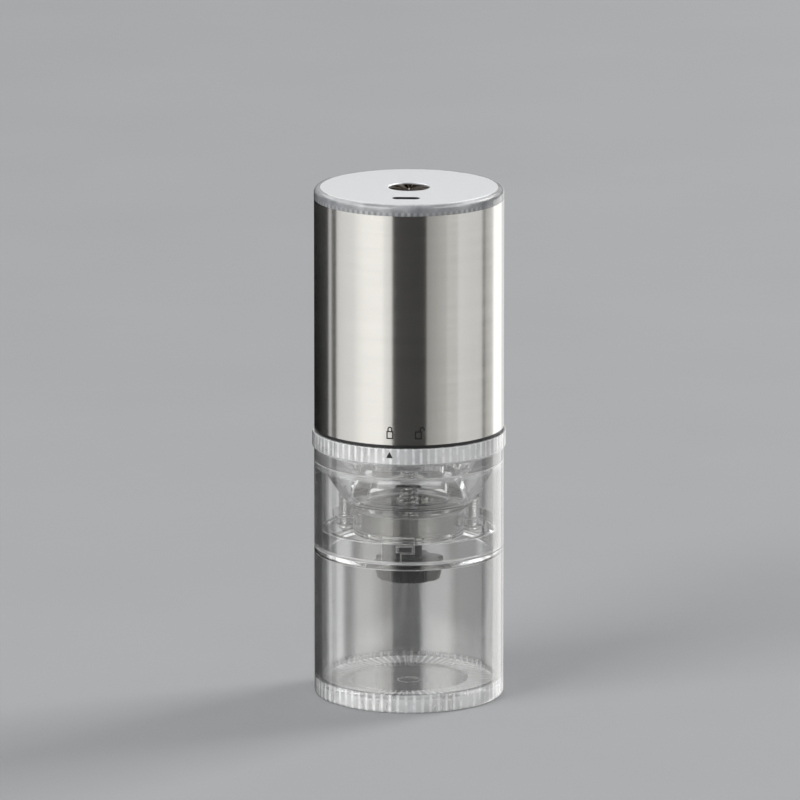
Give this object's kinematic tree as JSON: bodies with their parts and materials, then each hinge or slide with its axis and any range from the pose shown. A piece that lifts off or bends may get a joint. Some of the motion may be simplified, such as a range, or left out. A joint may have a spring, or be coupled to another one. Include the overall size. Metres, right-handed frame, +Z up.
{
  "type": "electric coffee grinder",
  "caption": "Cylindrical rechargeable coffee grinder: clear jar, clear bean hopper with cone burrs and grind knob, and a brushed steel drive unit with a top button.",
  "frame": {"origin": "centre of the jar's base, at the surface it stands on", "axes": "+Z up along the axis of the grinder, -Y is the front with the lock marks and the charging socket, +X is to the right seen from the front"},
  "size_m": [0.0674, 0.0674, 0.18],
  "materials": {
    "clear_plastic": "clear, polished",
    "bridge_plastic": "clear, polished",
    "milky_plastic": "milky clear, satin",
    "brushed_steel": "fine horizontal brushing",
    "burr_steel": "ground steel",
    "screw_steel": "zinc plated",
    "spring_steel": "bright wire",
    "shaft_steel": "ground",
    "plate_metal": "fine bead blast, bright rim",
    "button_metal": "dark spun metal, glossy",
    "black_plastic": "moulded, fine texture",
    "knob_plastic": "moulded, satin",
    "gear_plastic": "acetal",
    "bush_brass": "sintered bronze",
    "contact_brass": "spring bronze",
    "copper": "enamelled copper winding",
    "iron": "laminated",
    "magnet": "ferrite, unpainted",
    "can_steel": "zinc plated can",
    "seal_rubber": "silicone lip",
    "cell_wrap": "plain shrink wrap over a metal cell",
    "board": "solder mask",
    "lead_insulation": "insulated lead",
    "socket_steel": "plated shell"
  },
  "bodies": {
    "jar": {"jar": "clear_plastic"},
    "hopper": {"hopper_shell": "clear_plastic", "burr_carrier": "clear_plastic", "carrier_screws": "screw_steel", "outer_burr": "burr_steel", "shaft_bridge": "bridge_plastic", "shaft_bush": "bush_brass"},
    "burr_shaft": {"burr_shaft": "shaft_steel", "spring_collar": "shaft_steel", "drive_socket": "burr_steel", "adjust_spring": "spring_steel"},
    "inner_burr": {"inner_burr": "burr_steel"},
    "grind_knob": {"adjust_knob": "knob_plastic"},
    "drive_unit": {"base_cup": "black_plastic", "base_screws": "screw_steel", "output_seal": "seal_rubber", "steel_sleeve": "brushed_steel", "gearbox_cover": "black_plastic", "output_bearing": "shaft_steel", "gearbox_housing": "gear_plastic", "motor_plate": "can_steel", "gearbox_screws": "screw_steel", "motor_screws": "screw_steel", "motor_can": "can_steel", "motor_bushes": "bush_brass", "motor_end_cap": "black_plastic", "motor_contacts": "contact_brass", "motor_magnets": "magnet", "chassis": "black_plastic", "cell_left": "cell_wrap", "cell_right": "cell_wrap", "cell_tabs": "contact_brass", "lead_wires": "lead_insulation", "control_board": "board", "board_screws": "screw_steel", "button_switch": "black_plastic", "usb_shell": "socket_steel", "usb_tongue": "black_plastic", "top_frame": "black_plastic", "top_screws": "screw_steel", "cap_ring": "milky_plastic", "top_plate": "plate_metal"},
    "power_button": {"power_button": "button_metal", "switch_plunger": "gear_plastic"},
    "motor_rotor": {"motor_shaft": "shaft_steel", "sun_gear": "burr_steel", "armature_core": "iron", "armature_coils": "copper", "commutator": "copper"},
    "stage_carrier": {"stage_carrier": "burr_steel", "stage_pins": "shaft_steel"},
    "output_carrier": {"output_carrier": "burr_steel", "output_pins": "shaft_steel", "drive_dog": "burr_steel"},
    "planet_1a": {"planet_1a": "gear_plastic"},
    "planet_1b": {"planet_1b": "gear_plastic"},
    "planet_1c": {"planet_1c": "gear_plastic"},
    "planet_2a": {"planet_2a": "gear_plastic"},
    "planet_2b": {"planet_2b": "gear_plastic"},
    "planet_2c": {"planet_2c": "gear_plastic"}
  },
  "joints": [
    {"name": "hopper_twist", "type": "hinge", "parent": "jar", "child": "hopper", "pos_m": [0, 0, 0.0565], "axis": [0, 0, 1], "range_deg": [0, 8]},
    {"name": "drive_twist", "type": "hinge", "parent": "hopper", "child": "drive_unit", "pos_m": [0, 0, 0.0915], "axis": [0, 0, 1], "range_deg": [-17.2, 0]},
    {"name": "motor_spin", "type": "hinge", "parent": "drive_unit", "child": "motor_rotor", "pos_m": [0, 0, 0.13], "axis": [0, 0, 1], "continuous": true},
    {"name": "stage_spin", "type": "hinge", "parent": "drive_unit", "child": "stage_carrier", "pos_m": [0, 0, 0.109], "axis": [0, 0, 1], "continuous": true},
    {"name": "output_spin", "type": "hinge", "parent": "drive_unit", "child": "output_carrier", "pos_m": [0, 0, 0.1026], "axis": [0, 0, 1], "continuous": true},
    {"name": "burr_spin", "type": "hinge", "parent": "hopper", "child": "burr_shaft", "pos_m": [0, 0, 0.076], "axis": [0, 0, 1], "continuous": true},
    {"name": "burr_height", "type": "slide", "parent": "burr_shaft", "child": "inner_burr", "axis": [0, 0, 1], "range_m": [-0.0004, 0.0004], "deforming": ["adjust_spring"]},
    {"name": "knob_turn", "type": "hinge", "parent": "inner_burr", "child": "grind_knob", "pos_m": [0, 0, 0.047], "axis": [0, 0, 1], "range_deg": [-180, 180]},
    {"name": "power_press", "type": "slide", "parent": "drive_unit", "child": "power_button", "axis": [0, 0, -1], "range_m": [0, 0.0008], "stiffness_N_per_m": 600, "springref_m": -0.001},
    {"name": "planet_1a_spin", "type": "hinge", "parent": "stage_carrier", "child": "planet_1a", "pos_m": [0.0075, 0, 0.1117], "axis": [0, 0, 1], "continuous": true},
    {"name": "planet_1b_spin", "type": "hinge", "parent": "stage_carrier", "child": "planet_1b", "pos_m": [-0.00375, 0.0065, 0.1117], "axis": [0, 0, 1], "continuous": true},
    {"name": "planet_1c_spin", "type": "hinge", "parent": "stage_carrier", "child": "planet_1c", "pos_m": [-0.00375, -0.0065, 0.1117], "axis": [0, 0, 1], "continuous": true},
    {"name": "planet_2a_spin", "type": "hinge", "parent": "output_carrier", "child": "planet_2a", "pos_m": [0.0075, 0, 0.1057], "axis": [0, 0, 1], "continuous": true},
    {"name": "planet_2b_spin", "type": "hinge", "parent": "output_carrier", "child": "planet_2b", "pos_m": [-0.00375, 0.0065, 0.1057], "axis": [0, 0, 1], "continuous": true},
    {"name": "planet_2c_spin", "type": "hinge", "parent": "output_carrier", "child": "planet_2c", "pos_m": [-0.00375, -0.0065, 0.1057], "axis": [0, 0, 1], "continuous": true}
  ],
  "couplings": [
    {"joint": "stage_spin", "follows": "motor_spin", "ratio": 0.2},
    {"joint": "output_spin", "follows": "motor_spin", "ratio": 0.04},
    {"joint": "burr_spin", "follows": "motor_spin", "ratio": 0.04},
    {"joint": "knob_turn", "follows": "burr_height", "rad_per_m": 7854},
    {"joint": "planet_1a_spin", "follows": "motor_spin", "ratio": -0.53333},
    {"joint": "planet_1b_spin", "follows": "motor_spin", "ratio": -0.53333},
    {"joint": "planet_1c_spin", "follows": "motor_spin", "ratio": -0.53333},
    {"joint": "planet_2a_spin", "follows": "motor_spin", "ratio": -0.10667},
    {"joint": "planet_2b_spin", "follows": "motor_spin", "ratio": -0.10667},
    {"joint": "planet_2c_spin", "follows": "motor_spin", "ratio": -0.10667}
  ]
}
